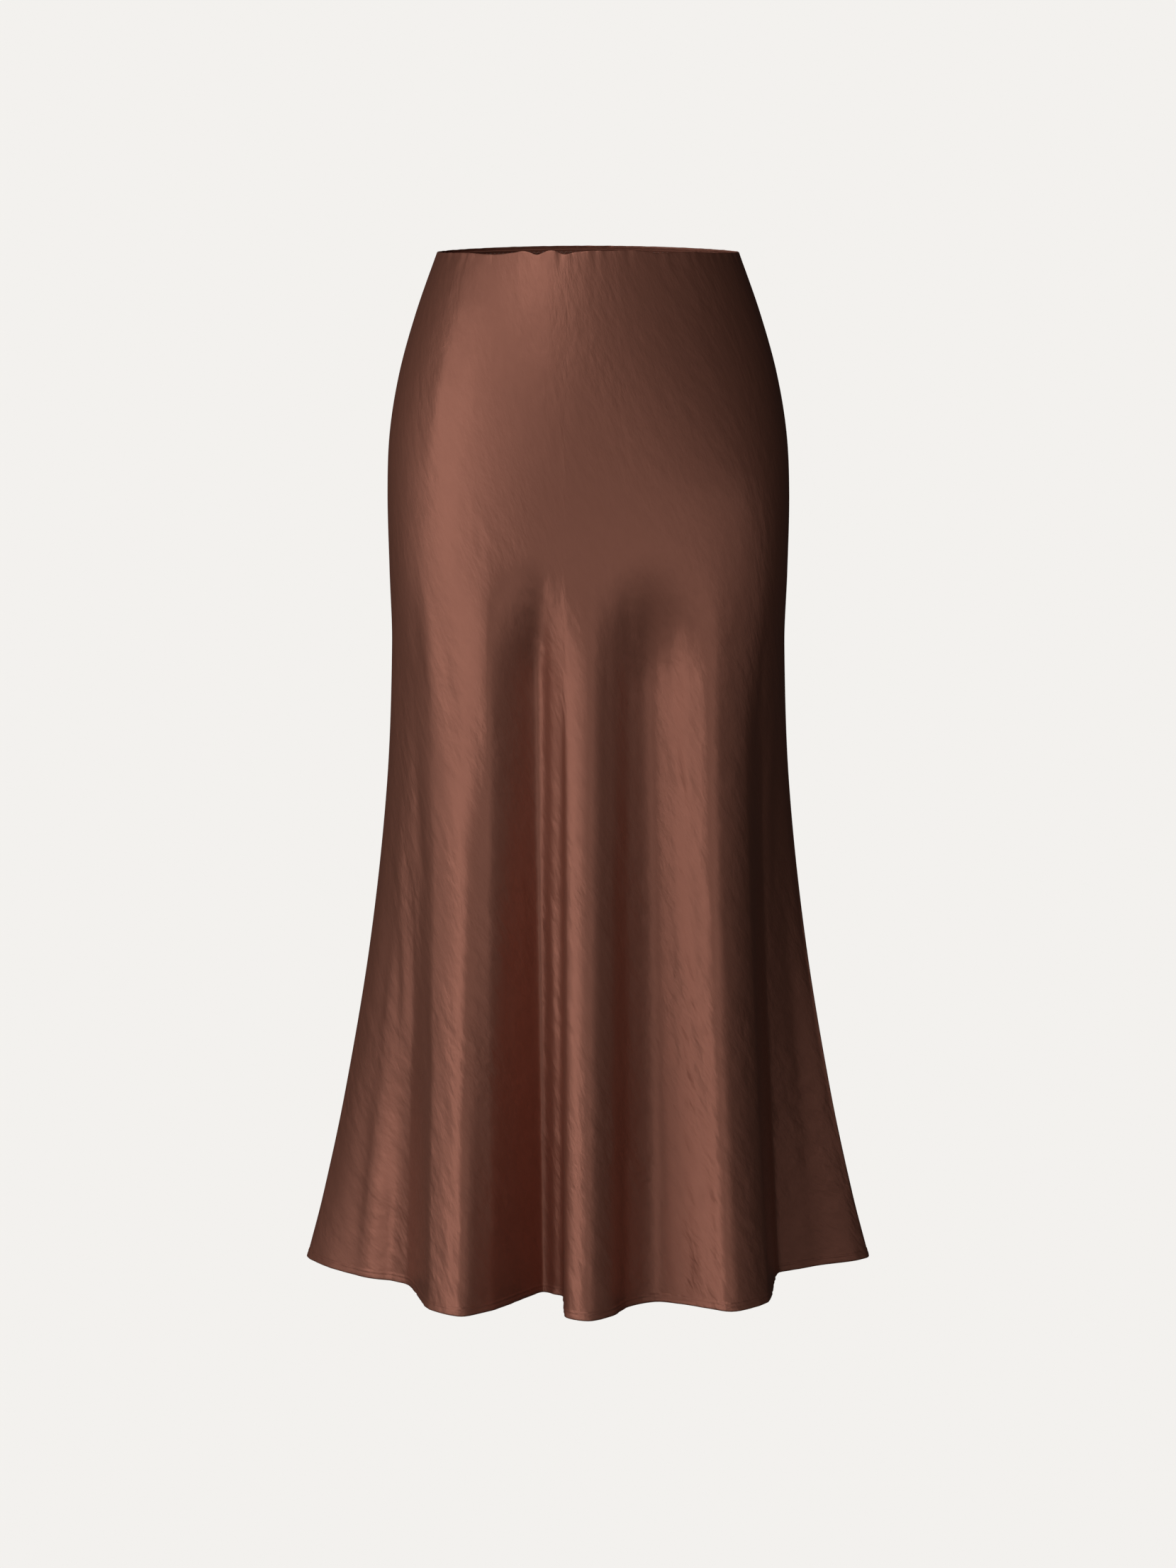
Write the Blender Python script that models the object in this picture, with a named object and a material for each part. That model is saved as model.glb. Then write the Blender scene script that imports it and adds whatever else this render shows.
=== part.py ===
"""Slip skirt: two bias-cut satin panels and an inner waist elastic, worn and hollow.

Metres, +Z up. The front faces -Y and the viewer's right is +X. The origin is the
centre of the waist, at the height of the two side seams. Every point of the cloth is
worked out from SECTIONS, the plain oval the skirt hangs around, and from the fold
tables, which pull the cloth in from that oval towards the hem.
"""

import math
from dataclasses import dataclass

import bmesh
import bpy
from mathutils import Vector

SKIRT_LENGTH = 0.8656           # waist to hem, down the side seam
CLOTH_WALL = 0.0010             # thickness of the single cloth
HEM_WALL = 0.0020               # thickness where the hem is turned up
HEM_DEPTH = 0.0060              # height of the turned hem
SEAM_GAP = 0.0003               # clearance between neighbouring pieces
RIM_LIFT = 0.0026               # how far the rim rises at centre front and centre back
RIM_LIFT_REACH = 0.120          # drop over which that rise fades out

ELASTIC_WIDTH = 0.0120          # height of the inner waist elastic
ELASTIC_WALL = 0.0012           # its thickness
ELASTIC_DROP = 0.0015           # how far its top lies below the rim
ELASTIC_STEPS = 72              # columns round the elastic

ROW_SPACING = 0.036             # height between two rings of the cloth
COLUMN_SPACING = 0.017          # width between two columns, measured along the hem
FEWEST_COLUMNS = 2              # least columns between two fold lines
UPPER_DROP = 0.362              # the upper of the two heights at which folds are stated
SIDE_FOLLOW = 4                 # power that leaves the side's curve to the outermost lines
LINES_PER_FOLD = 3
LENGTH_SAMPLES = 8              # steps by which the hem between two lines is measured
NORMAL_REACH = 0.020            # columns to each side over which the normal is taken
NORMAL_DROP = 0.005             # drop above and below over which it is taken


@dataclass(frozen=True)
class Section:
    """The oval round the body at one height."""

    drop: float                 # below the waist
    half_width: float           # side to side
    front_depth: float          # from the axis to the front
    back_depth: float           # from the axis to the back
    left_power: float           # of the front: 2 for an ellipse, more where it is flatter
    right_power: float
    turn: float                 # share by which the right of the front stands forward


@dataclass(frozen=True)
class Fold:
    """A flute or a valley, as three lines down the cloth: left, middle and right.

    A line's setback is how far it is pulled in from the oval, towards the side seams'
    plane. It starts at nothing, and is stated at the upper drop and at the hem.
    """

    name: str
    start_drop: float           # where the fold begins, below the waist
    growth: float               # power by which it deepens from the upper drop to the hem
    upper_x: tuple              # where its three lines are at the upper drop
    upper_setback: tuple
    hem_x: tuple                # where they meet the hem
    hem_setback: tuple


SECTIONS = (
    Section(0.000, 0.1268, 0.0880, 0.0880, 2.00, 2.00, 0.00),
    Section(0.050, 0.1446, 0.0990, 0.1010, 2.00, 2.00, 0.01),
    Section(0.100, 0.1588, 0.1080, 0.1150, 2.00, 2.20, 0.03),
    Section(0.150, 0.1673, 0.1140, 0.1250, 2.05, 2.60, 0.05),
    Section(0.200, 0.1695, 0.1175, 0.1290, 2.20, 3.20, 0.06),
    Section(0.265, 0.1682, 0.1195, 0.1290, 2.45, 3.40, 0.06),
    Section(0.330, 0.1665, 0.1225, 0.1280, 2.50, 3.20, 0.05),
    Section(0.450, 0.1717, 0.1330, 0.1340, 2.30, 2.60, 0.03),
    Section(0.587, 0.1871, 0.1515, 0.1500, 2.10, 2.20, 0.01),
    Section(0.720, 0.2100, 0.1760, 0.1720, 2.00, 2.00, 0.00),
    Section(0.812, 0.2300, 0.1955, 0.1900, 2.00, 2.00, 0.00),
    Section(0.8656, 0.2440, 0.2085, 0.2020, 2.00, 2.00, 0.00),
)
SIZES = ("half_width", "front_depth", "back_depth", "left_power", "right_power", "turn")

# Seen from the front, left to right.
FRONT_FOLDS = (
    Fold("left wing", 0.232, 2.1,
         upper_x=(-0.1650, -0.1590, -0.1480), upper_setback=(0.0090, 0.0125, 0.0090),
         hem_x=(-0.2357, -0.1950, -0.1560), hem_setback=(0.0334, 0.0590, 0.0690)),
    Fold("left flute", 0.232, 1.0,
         upper_x=(-0.1290, -0.1060, -0.0845), upper_setback=(0.0005, -0.0020, -0.0030),
         hem_x=(-0.1310, -0.1080, -0.0820), hem_setback=(0.0020, -0.0070, 0.0180)),
    Fold("left valley", 0.232, 1.2,
         upper_x=(-0.0425, -0.0300, -0.0215), upper_setback=(0.0275, 0.0185, 0.0117),
         hem_x=(-0.0375, -0.0285, -0.0208), hem_setback=(0.0880, 0.0815, 0.0750)),
    Fold("centre flute", 0.232, 1.0,
         upper_x=(-0.0180, 0.0020, 0.0185), upper_setback=(0.0092, 0.0020, 0.0100),
         hem_x=(-0.0190, 0.0000, 0.0200), hem_setback=(0.0140, 0.0, 0.0150)),
    Fold("right valley", 0.232, 1.0,
         upper_x=(0.0360, 0.0510, 0.0680), upper_setback=(0.0230, 0.0280, 0.0215),
         hem_x=(0.0340, 0.0560, 0.0780), hem_setback=(0.0420, 0.0537, 0.0413)),
    Fold("right flute", 0.232, 1.0,
         upper_x=(0.0850, 0.1070, 0.1300), upper_setback=(0.0105, 0.0000, 0.0030),
         hem_x=(0.0990, 0.1230, 0.1500), hem_setback=(0.0215, 0.0012, 0.0135)),
    Fold("right wing", 0.240, 1.0,
         upper_x=(0.1480, 0.1580, 0.1650), upper_setback=(0.0110, 0.0150, 0.0150),
         hem_x=(0.1640, 0.1957, 0.2370), hem_setback=(0.0990, 0.0900, 0.0370)),
)

# Seen from behind, from the viewer's left to right, so that x runs down.
BACK_FOLDS = (
    Fold("right back wing", 0.26, 1.2,
         upper_x=(0.1650, 0.1570, 0.1460), upper_setback=(0.0, 0.0, 0.0),
         hem_x=(0.2350, 0.2020, 0.1720), hem_setback=(0.0300, 0.0500, 0.0560)),
    Fold("right back flute", 0.22, 1.0,
         upper_x=(0.1280, 0.1080, 0.0860), upper_setback=(0.0, -0.0040, 0.0010),
         hem_x=(0.1430, 0.1170, 0.0920), hem_setback=(0.0060, 0.0, 0.0080)),
    Fold("right back valley", 0.22, 1.0,
         upper_x=(0.0640, 0.0490, 0.0340), upper_setback=(0.0150, 0.0220, 0.0160),
         hem_x=(0.0690, 0.0520, 0.0350), hem_setback=(0.0560, 0.0640, 0.0580)),
    Fold("centre back flute", 0.23, 1.0,
         upper_x=(0.0150, -0.0020, -0.0200), upper_setback=(0.0050, 0.0, 0.0050),
         hem_x=(0.0200, -0.0030, -0.0260), hem_setback=(0.0100, 0.0, 0.0070)),
    Fold("left back valley", 0.22, 1.0,
         upper_x=(-0.0400, -0.0550, -0.0700), upper_setback=(0.0170, 0.0230, 0.0180),
         hem_x=(-0.0440, -0.0620, -0.0800), hem_setback=(0.0560, 0.0680, 0.0600)),
    Fold("left back flute", 0.22, 1.0,
         upper_x=(-0.0900, -0.1100, -0.1300), upper_setback=(0.0010, -0.0040, 0.0),
         hem_x=(-0.1000, -0.1250, -0.1500), hem_setback=(0.0080, 0.0, 0.0080)),
    Fold("left back wing", 0.26, 1.2,
         upper_x=(-0.1470, -0.1570, -0.1650), upper_setback=(0.0, 0.0, 0.0),
         hem_x=(-0.1760, -0.2050, -0.2360), hem_setback=(0.0520, 0.0480, 0.0290)),
)


@dataclass(frozen=True)
class Line:
    """One line down the cloth, on the front (side 1), the back (-1) or a seam (0)."""

    side: int
    start_drop: float
    growth: float
    upper_x: float
    upper_setback: float
    hem_x: float
    hem_setback: float


def hermite(value_a, value_b, slope_a, slope_b, share):
    """Cubic between two values with the given slopes, for a share from 0 to 1."""
    square = share * share
    cube = square * share
    return (
        value_a * (2 * cube - 3 * square + 1)
        + slope_a * (cube - 2 * square + share)
        + value_b * (3 * square - 2 * cube)
        + slope_b * (cube - square)
    )


def eased_slope(step_in, step_out):
    """Slope where two steps meet, which never lets the curve run past a line."""
    if step_in * step_out <= 0.0:
        return 0.0
    return 2 * step_in * step_out / (step_in + step_out)


def section_at(drop):
    """The sizes of the oval, in the order of SIZES, at a drop below the waist."""
    last = len(SECTIONS) - 2
    index = 0
    while index < last and SECTIONS[index + 1].drop < drop:
        index += 1
    upper = SECTIONS[index]
    lower = SECTIONS[index + 1]
    above = SECTIONS[max(index - 1, 0)]
    below = SECTIONS[min(index + 2, len(SECTIONS) - 1)]
    height = lower.drop - upper.drop
    share = (drop - upper.drop) / height
    sizes = []
    for size in SIZES:
        upper_slope = (getattr(lower, size) - getattr(above, size)) / (lower.drop - above.drop)
        lower_slope = (getattr(below, size) - getattr(upper, size)) / (below.drop - upper.drop)
        sizes.append(
            hermite(getattr(upper, size), getattr(lower, size), upper_slope * height, lower_slope * height, share)
        )
    return sizes


def fold_lines():
    """All lines round the skirt: left seam, front folds, right seam, back folds."""
    hem_half_width = SECTIONS[-1].half_width
    lines = []
    for side, seam_x, folds in ((1, -hem_half_width, FRONT_FOLDS), (-1, hem_half_width, BACK_FOLDS)):
        lines.append(Line(0, 0.0, 1.0, seam_x, 0.0, seam_x, 0.0))
        for fold in folds:
            for places in zip(fold.upper_x, fold.upper_setback, fold.hem_x, fold.hem_setback):
                lines.append(Line(side, fold.start_drop, fold.growth, *places))
    return lines


LINES = fold_lines()


def line_angle(line, drop):
    """Angle round the oval of a line: it keeps its x above the upper drop."""
    half_width = section_at(max(drop, line.start_drop))[0]
    travel = max(0.0, drop - UPPER_DROP) / (SKIRT_LENGTH - UPPER_DROP)
    x = line.upper_x + (line.hem_x - line.upper_x) * travel
    if travel > 0.0:
        upper_width = section_at(UPPER_DROP)[0]
        straight_width = upper_width + (SECTIONS[-1].half_width - upper_width) * travel
        curve_in = 1.0 - half_width / straight_width
        x *= 1.0 - curve_in * (x / straight_width) ** SIDE_FOLLOW
    return math.acos(x / half_width)


def line_setback(line, drop):
    """How far a line is pulled in: a soft onset, then steadily down to the hem."""
    deepening = line.hem_setback - line.upper_setback
    travel = (drop - UPPER_DROP) / (SKIRT_LENGTH - UPPER_DROP)
    if travel >= 0.0:
        return line.upper_setback + deepening * travel ** line.growth
    if drop <= line.start_drop:
        return 0.0
    onset = UPPER_DROP - line.start_drop
    slope = deepening / (SKIRT_LENGTH - UPPER_DROP) if line.growth == 1.0 else 0.0
    return hermite(0.0, line.upper_setback, 0.0, slope * onset, (drop - line.start_drop) / onset)


def line_state(line, drop):
    """Signed angle and signed setback of a line at a drop below the waist."""
    if line.side == 0:
        return (math.pi, 0.0) if line.hem_x < 0 else (0.0, 0.0)
    return line.side * line_angle(line, drop), line.side * line_setback(line, drop)


def cloth_point(column, drop):
    """A point of the outer face.

    column counts the fold lines from the left seam, with a fraction between two
    lines: the whole part picks the line, and the fraction the place after it.
    """
    count = len(LINES)
    index = int(math.floor(column)) % count
    share = column - math.floor(column)
    states = []
    for offset in (-1, 0, 1, 2):
        angle, depth = line_state(LINES[(index + offset) % count], drop)
        if states:
            turns = round((states[-1][0] - angle) / math.tau)
            angle += turns * math.tau
        states.append((angle, depth))
    values = []
    for before, here, there, after in zip(*states):
        slope_here = eased_slope(here - before, there - here)
        slope_there = eased_slope(there - here, after - there)
        values.append(hermite(here, there, slope_here, slope_there, share))
    angle, depth = values
    half_width, front_depth, back_depth, left_power, right_power, turn = section_at(drop)
    lift = RIM_LIFT * max(0.0, 1.0 - drop / RIM_LIFT_REACH) ** 2
    sine, cosine = math.sin(angle), math.cos(angle)
    if sine > 0.0:
        power = right_power if cosine > 0.0 else left_power
        reach = front_depth * (1.0 - abs(cosine) ** power) ** (1.0 / power) * (1.0 + turn * cosine)
    else:
        reach = back_depth * sine
    return Vector((
        half_width * cosine,
        depth - reach,
        lift * sine * sine - drop,
    ))


def cloth_normal(column, drop):
    """The direction out of the cloth at a point of the outer face."""
    upper = max(drop - NORMAL_DROP, 0.0)
    lower = min(drop + NORMAL_DROP, SKIRT_LENGTH)
    along = cloth_point(column + NORMAL_REACH, drop) - cloth_point(column - NORMAL_REACH, drop)
    down = cloth_point(column, lower) - cloth_point(column, upper)
    return down.cross(along).normalized()


def columns_between(first_line, last_line):
    """Column places from one line to another, spaced evenly along the hem."""
    columns = []
    for index in range(first_line, last_line):
        points = [
            cloth_point(index + sample / LENGTH_SAMPLES, SKIRT_LENGTH)
            for sample in range(LENGTH_SAMPLES + 1)
        ]
        length = sum((b - a).length for a, b in zip(points, points[1:]))
        steps = max(FEWEST_COLUMNS, round(length / COLUMN_SPACING))
        columns.extend(index + step / steps for step in range(steps))
    columns.append(float(last_line))
    return columns


def row_drops():
    """Drops of the rings of the cloth, with the turned hem last."""
    hem_top = SKIRT_LENGTH - HEM_DEPTH
    count = round(hem_top / ROW_SPACING)
    drops = [hem_top * row / count for row in range(count)]
    drops.append(hem_top - HEM_WALL)
    drops.append(hem_top)
    drops.append(SKIRT_LENGTH)
    return drops


def wall_at(drop):
    """Thickness of the cloth, which doubles inside the turned hem."""
    return HEM_WALL if drop > SKIRT_LENGTH - HEM_DEPTH - CLOTH_WALL / 2 else CLOTH_WALL


def material(name, colour, roughness):
    """A cloth finish with a base colour and a roughness."""
    finish = bpy.data.materials.new(name)
    finish.use_nodes = True
    shader = finish.node_tree.nodes["Principled BSDF"]
    shader.inputs["Base Color"].default_value = (*colour, 1.0)
    shader.inputs["Roughness"].default_value = roughness
    shader.inputs["Metallic"].default_value = 0.0
    return finish


def add_object(name, mesh, finish):
    """Turn a bmesh into a smooth shaded object with its finish."""
    bmesh.ops.recalc_face_normals(mesh, faces=mesh.faces)
    data = bpy.data.meshes.new(name)
    mesh.to_mesh(data)
    mesh.free()
    data.materials.append(finish)
    data.shade_smooth()
    thing = bpy.data.objects.new(name, data)
    bpy.context.collection.objects.link(thing)
    return thing


def wall_rings(mesh, outer_rows, inner_rows, closed):
    """Skin a wall between rows of outer and inner points.

    A closed wall goes all the way round. An open one gets a face at each end.
    """
    rings = []
    for outer, inner in zip(outer_rows, inner_rows):
        rings.append(([mesh.verts.new(point) for point in outer], [mesh.verts.new(point) for point in inner]))
    width = len(outer_rows[0])
    spans = width if closed else width - 1
    for (outer_a, inner_a), (outer_b, inner_b) in zip(rings, rings[1:]):
        for here in range(spans):
            there = (here + 1) % width
            mesh.faces.new((outer_a[here], outer_b[here], outer_b[there], outer_a[there]))
            mesh.faces.new((inner_a[there], inner_b[there], inner_b[here], inner_a[here]))
        if not closed:
            mesh.faces.new((inner_a[0], inner_b[0], outer_b[0], outer_a[0]))
            mesh.faces.new((outer_a[-1], outer_b[-1], inner_b[-1], inner_a[-1]))
    for outer, inner in (rings[0], rings[-1]):
        for here in range(spans):
            there = (here + 1) % width
            mesh.faces.new((outer[here], outer[there], inner[there], inner[here]))


def panel(name, first_line, last_line, front, finish):
    """One cloth panel, from seam to seam, with its edges half a gap from each seam."""
    columns = columns_between(first_line, last_line)
    edge_shift = Vector((0.0, -SEAM_GAP / 2 if front else SEAM_GAP / 2, 0.0))
    outer_rows = []
    inner_rows = []
    for drop in row_drops():
        outer = []
        inner = []
        for place, column in enumerate(columns):
            point = cloth_point(column, drop)
            inside = point - cloth_normal(column, drop) * wall_at(drop)
            inside.z = point.z
            if place in (0, len(columns) - 1):
                point += edge_shift
                inside += edge_shift
            outer.append(point)
            inner.append(inside)
        outer_rows.append(outer)
        inner_rows.append(inner)
    mesh = bmesh.new()
    wall_rings(mesh, outer_rows, inner_rows, closed=False)
    return add_object(name, mesh, finish)


def waist_elastic(finish):
    """The closed band of elastic inside the rim, just clear of the cloth."""
    outer_depth = CLOTH_WALL + SEAM_GAP
    outer_rows = []
    inner_rows = []
    for drop in (ELASTIC_DROP, ELASTIC_DROP + ELASTIC_WIDTH):
        outer = []
        inner = []
        for step in range(ELASTIC_STEPS):
            column = len(LINES) * step / ELASTIC_STEPS
            point = cloth_point(column, drop)
            normal = cloth_normal(column, drop)
            outer.append(point - normal * outer_depth)
            inner.append(point - normal * (outer_depth + ELASTIC_WALL))
        outer_rows.append(outer)
        inner_rows.append(inner)
    mesh = bmesh.new()
    wall_rings(mesh, outer_rows, inner_rows, closed=True)
    return add_object("waist_elastic", mesh, finish)


def main():
    """Clear the scene and build the two panels and the elastic."""
    for thing in list(bpy.data.objects):
        bpy.data.objects.remove(thing, do_unlink=True)
    satin = material("brown_satin", (0.42, 0.165, 0.115), 0.50)
    elastic = material("brown_elastic", (0.320, 0.118, 0.078), 0.80)
    right_seam = 1 + LINES_PER_FOLD * len(FRONT_FOLDS)
    panel("front_panel", 0, right_seam, True, satin)
    panel("back_panel", right_seam, len(LINES), False, satin)
    waist_elastic(elastic)


main()
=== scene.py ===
"""Slip skirt in brown satin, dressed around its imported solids.

Metres, +Z up. The front faces -Y and the viewer's right is +X. The origin is the
centre of the waist, level with the tops of the two side seams. The cloth is worked
out from the same sections and fold lines as the solids, on a finer net, and gets its
creases, its turned hem, its rolled rim and its stitches here.
"""

import logging
import math
from dataclasses import dataclass, field
from enum import Enum
from typing import Any

import bmesh
import bpy
import numpy as np
from bpy.types import ID, Material, Node, NodeSocket, NodeTree, Object
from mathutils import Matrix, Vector


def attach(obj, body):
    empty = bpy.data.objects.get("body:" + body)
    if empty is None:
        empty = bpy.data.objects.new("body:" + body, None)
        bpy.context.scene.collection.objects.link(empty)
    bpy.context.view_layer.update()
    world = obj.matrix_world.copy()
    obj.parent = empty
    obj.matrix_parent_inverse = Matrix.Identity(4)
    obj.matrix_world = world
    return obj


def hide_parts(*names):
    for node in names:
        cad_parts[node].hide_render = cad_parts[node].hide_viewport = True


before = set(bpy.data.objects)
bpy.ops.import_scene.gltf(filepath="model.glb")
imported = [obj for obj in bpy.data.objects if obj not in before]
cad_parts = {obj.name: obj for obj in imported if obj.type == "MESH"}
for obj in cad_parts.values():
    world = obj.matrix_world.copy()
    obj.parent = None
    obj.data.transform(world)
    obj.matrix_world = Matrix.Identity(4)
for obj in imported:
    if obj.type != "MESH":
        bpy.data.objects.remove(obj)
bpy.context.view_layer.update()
BODY = "root"

LOG = logging.getLogger("slip_skirt")

Colour = tuple[float, float, float]
Numbers = tuple[float, ...]
Array = np.ndarray
Amount = Array | float
Faces = list[tuple[int, ...]]

SKIRT_LENGTH = 0.8656           # waist to hem, down the side seam
UPPER_DROP = 0.362              # the upper of the two heights at which folds are stated
SIDE_FOLLOW = 4                 # power that leaves the side's curve to the outermost lines
RIM_LIFT = 0.0026               # how far the rim rises at centre front and centre back
RIM_LIFT_REACH = 0.120          # drop over which that rise fades out
LINES_PER_FOLD = 3
RIPPLE_SHIFT = 1.7              # how far each wave of a ripple starts after the last
RIPPLE_DRIFT = 0.8              # how far its crests wander along the edge
RIPPLE_DRIFT_RATE = 23.0        # how fast they wander, in radians for each metre
NEAR_STEP = 0.0005              # spacing of the rows that a stitch's normal is taken from
TINY = 1e-9


class Side(Enum):
    """The half of the skirt that a line or a panel belongs to."""

    FRONT = 1
    BACK = -1
    SEAM = 0


class Slot(Enum):
    """The material slots of the record."""

    SATIN = "brown_satin"
    ELASTIC = "brown_elastic"


# --- The form of the cloth ---


@dataclass(frozen=True)
class Section:
    """The oval round the body at one height, in metres.

    Each power of the front is 2 for an ellipse, and more where the front is flatter. The
    turn is the share by which the right of the front stands further forward.
    """

    drop: float
    half_width: float
    front_depth: float
    back_depth: float
    left_power: float
    right_power: float
    turn: float


@dataclass(frozen=True)
class Fold:
    """A flute or a valley, as three lines down the cloth: left, middle and right.

    A line's setback is how far it is pulled in from the oval, towards the plane of the
    side seams. It starts at nothing, and is stated at the upper drop and at the hem. The
    growth is the power by which it changes between those two.
    """

    start_drop: float
    growth: float
    upper_x: Numbers
    upper_setback: Numbers
    hem_x: Numbers
    hem_setback: Numbers


@dataclass(frozen=True)
class Line:
    """One line down the cloth, on the front, on the back or along a side seam."""

    side: Side
    start_drop: float
    growth: float
    upper_x: float
    upper_setback: float
    hem_x: float
    hem_setback: float


@dataclass(frozen=True)
class Crease:
    """A soft trough or ridge drawn on one side of the skirt.

    Its ends are (x, drop) places. A positive height stands out of the cloth and a
    negative one sinks into it. The bow is how far its middle swings towards +x.
    """

    start: tuple[float, float]
    end: tuple[float, float]
    width: float
    height: float
    bow: float = 0.0

    def relief(self, x: Array, drop: Array) -> Array:
        """How far the crease lifts the cloth.

        Args:
            x: Sideways places of the points.
            drop: Their drops below the waist.

        Returns:
            The lift of each point along the cloth's normal.
        """
        run_x = self.end[0] - self.start[0]
        run_drop = self.end[1] - self.start[1]
        length = math.hypot(run_x, run_drop)
        along = ((x - self.start[0]) * run_x + (drop - self.start[1]) * run_drop) / length**2
        across = ((x - self.start[0]) * run_drop - (drop - self.start[1]) * run_x) / length
        inside = np.clip(along, 0.0, 1.0)
        swing = 4.0 * self.bow * inside * (1.0 - inside) * run_drop / length
        window = np.sin(math.pi * inside) ** 2
        return self.height * window * np.exp(-(((across - swing) / self.width) ** 2))


@dataclass(frozen=True)
class RimRoll:
    """A short stretch of the front rim that the elastic rolls up or pulls down."""

    x: float
    reach: float
    rise: float

    def relief(self, x: Array) -> Array:
        """How far the rim rises at each sideways place."""
        return self.rise * np.exp(-(((x - self.x) / self.reach) ** 2))


SECTIONS = (
    Section(0.000, 0.1268, 0.0880, 0.0880, 2.00, 2.00, 0.00),
    Section(0.050, 0.1446, 0.0990, 0.1010, 2.00, 2.00, 0.01),
    Section(0.100, 0.1588, 0.1080, 0.1150, 2.00, 2.20, 0.03),
    Section(0.150, 0.1673, 0.1140, 0.1250, 2.05, 2.60, 0.05),
    Section(0.200, 0.1695, 0.1175, 0.1290, 2.20, 3.20, 0.06),
    Section(0.265, 0.1682, 0.1195, 0.1290, 2.45, 3.40, 0.06),
    Section(0.330, 0.1665, 0.1225, 0.1280, 2.50, 3.20, 0.05),
    Section(0.450, 0.1717, 0.1330, 0.1340, 2.30, 2.60, 0.03),
    Section(0.587, 0.1871, 0.1515, 0.1500, 2.10, 2.20, 0.01),
    Section(0.720, 0.2100, 0.1760, 0.1720, 2.00, 2.00, 0.00),
    Section(0.812, 0.2300, 0.1955, 0.1900, 2.00, 2.00, 0.00),
    Section(0.8656, 0.2440, 0.2085, 0.2020, 2.00, 2.00, 0.00),
)
SIZES = ("half_width", "front_depth", "back_depth", "left_power", "right_power", "turn")

# Seen from the front, left to right. Each has its x and its setback at the upper drop in
# one row, and at the hem in the next.
FRONT_FOLDS = (
    # left wing
    Fold(0.232, 2.1,
         (-0.1650, -0.1590, -0.1480), (0.0090, 0.0125, 0.0090),
         (-0.2357, -0.1950, -0.1560), (0.0334, 0.0590, 0.0690)),
    # left flute
    Fold(0.232, 1.0,
         (-0.1290, -0.1060, -0.0845), (0.0005, -0.0020, -0.0030),
         (-0.1310, -0.1080, -0.0820), (0.0020, -0.0070, 0.0180)),
    # left valley
    Fold(0.232, 1.2,
         (-0.0425, -0.0300, -0.0215), (0.0275, 0.0185, 0.0117),
         (-0.0375, -0.0285, -0.0208), (0.0880, 0.0815, 0.0750)),
    # centre flute
    Fold(0.232, 1.0,
         (-0.0180, 0.0020, 0.0185), (0.0092, 0.0020, 0.0100),
         (-0.0190, 0.0000, 0.0200), (0.0140, 0.0, 0.0150)),
    # right valley
    Fold(0.232, 1.0,
         (0.0360, 0.0510, 0.0680), (0.0230, 0.0280, 0.0215),
         (0.0340, 0.0560, 0.0780), (0.0420, 0.0537, 0.0413)),
    # right flute
    Fold(0.232, 1.0,
         (0.0850, 0.1070, 0.1300), (0.0105, 0.0000, 0.0030),
         (0.0990, 0.1230, 0.1500), (0.0215, 0.0012, 0.0135)),
    # right wing
    Fold(0.240, 1.0,
         (0.1480, 0.1580, 0.1650), (0.0110, 0.0150, 0.0150),
         (0.1640, 0.1957, 0.2370), (0.0990, 0.0900, 0.0370)),
)

# Seen from behind, from the viewer's left to right, so that x runs down.
BACK_FOLDS = (
    # right back wing
    Fold(0.26, 1.2,
         (0.1650, 0.1570, 0.1460), (0.0, 0.0, 0.0),
         (0.2350, 0.2020, 0.1720), (0.0300, 0.0500, 0.0560)),
    # right back flute
    Fold(0.22, 1.0,
         (0.1280, 0.1080, 0.0860), (0.0, -0.0040, 0.0010),
         (0.1430, 0.1170, 0.0920), (0.0060, 0.0, 0.0080)),
    # right back valley
    Fold(0.22, 1.0,
         (0.0640, 0.0490, 0.0340), (0.0150, 0.0220, 0.0160),
         (0.0690, 0.0520, 0.0350), (0.0560, 0.0640, 0.0580)),
    # centre back flute
    Fold(0.23, 1.0,
         (0.0150, -0.0020, -0.0200), (0.0050, 0.0, 0.0050),
         (0.0200, -0.0030, -0.0260), (0.0100, 0.0, 0.0070)),
    # left back valley
    Fold(0.22, 1.0,
         (-0.0400, -0.0550, -0.0700), (0.0170, 0.0230, 0.0180),
         (-0.0440, -0.0620, -0.0800), (0.0560, 0.0680, 0.0600)),
    # left back flute
    Fold(0.22, 1.0,
         (-0.0900, -0.1100, -0.1300), (0.0010, -0.0040, 0.0),
         (-0.1000, -0.1250, -0.1500), (0.0080, 0.0, 0.0080)),
    # left back wing
    Fold(0.26, 1.2,
         (-0.1470, -0.1570, -0.1650), (0.0, 0.0, 0.0),
         (-0.1760, -0.2050, -0.2360), (0.0520, 0.0480, 0.0290)),
)

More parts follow.
